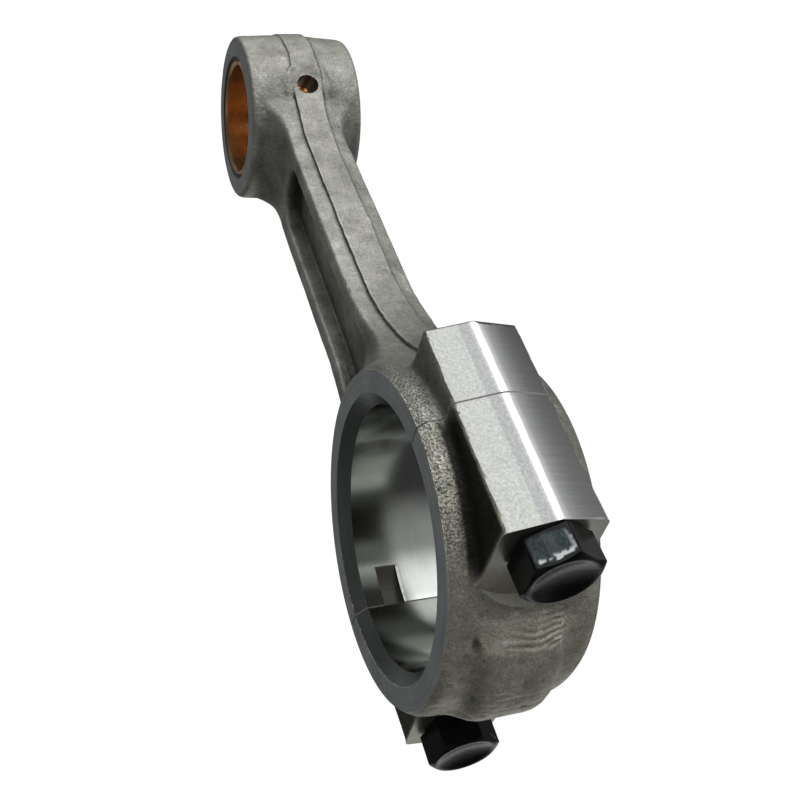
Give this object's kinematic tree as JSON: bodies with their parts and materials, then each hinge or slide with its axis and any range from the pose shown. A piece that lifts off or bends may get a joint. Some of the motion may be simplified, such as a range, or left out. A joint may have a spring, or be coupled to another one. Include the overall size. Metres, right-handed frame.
{
  "type": "connecting rod",
  "caption": "Forged connecting rod with an I-section shank, a bushed small end with an oil hole, and a straight-split big end whose cap is held by two hex bolts.",
  "frame": {"origin": "centre of the big-end bore on the mid-plane of the rod", "axes": "+Z along both bores, +X along the shank towards the small end, the two cap bolts lie at -Y and +Y; the rod lies flat on its -Z side"},
  "size_m": [0.2166, 0.0868, 0.0316],
  "materials": {
    "forged_steel": "shot-blast forging with machined faces",
    "forged_cap_steel": "darker shot-blast forging with machined faces",
    "bush_bronze": "fine-bored bronze",
    "black_bolt_steel": "oiled black oxide"
  },
  "bodies": {
    "rod": {"rod_body": "forged_steel", "small_end_bush": "bush_bronze"},
    "cap": {"bearing_cap": "forged_cap_steel"},
    "near_bolt": {"bolt_near": "black_bolt_steel"},
    "far_bolt": {"bolt_far": "black_bolt_steel"}
  },
  "joints": [
    {"name": "cap_release", "type": "slide", "parent": "rod", "child": "cap", "axis": [-1, 0, 0], "range_m": [0, 0.06]},
    {"name": "near_bolt_release", "type": "slide", "parent": "cap", "child": "near_bolt", "axis": [-1, 0, 0], "range_m": [0, 0.05]},
    {"name": "far_bolt_release", "type": "slide", "parent": "cap", "child": "far_bolt", "axis": [-1, 0, 0], "range_m": [0, 0.05]}
  ]
}
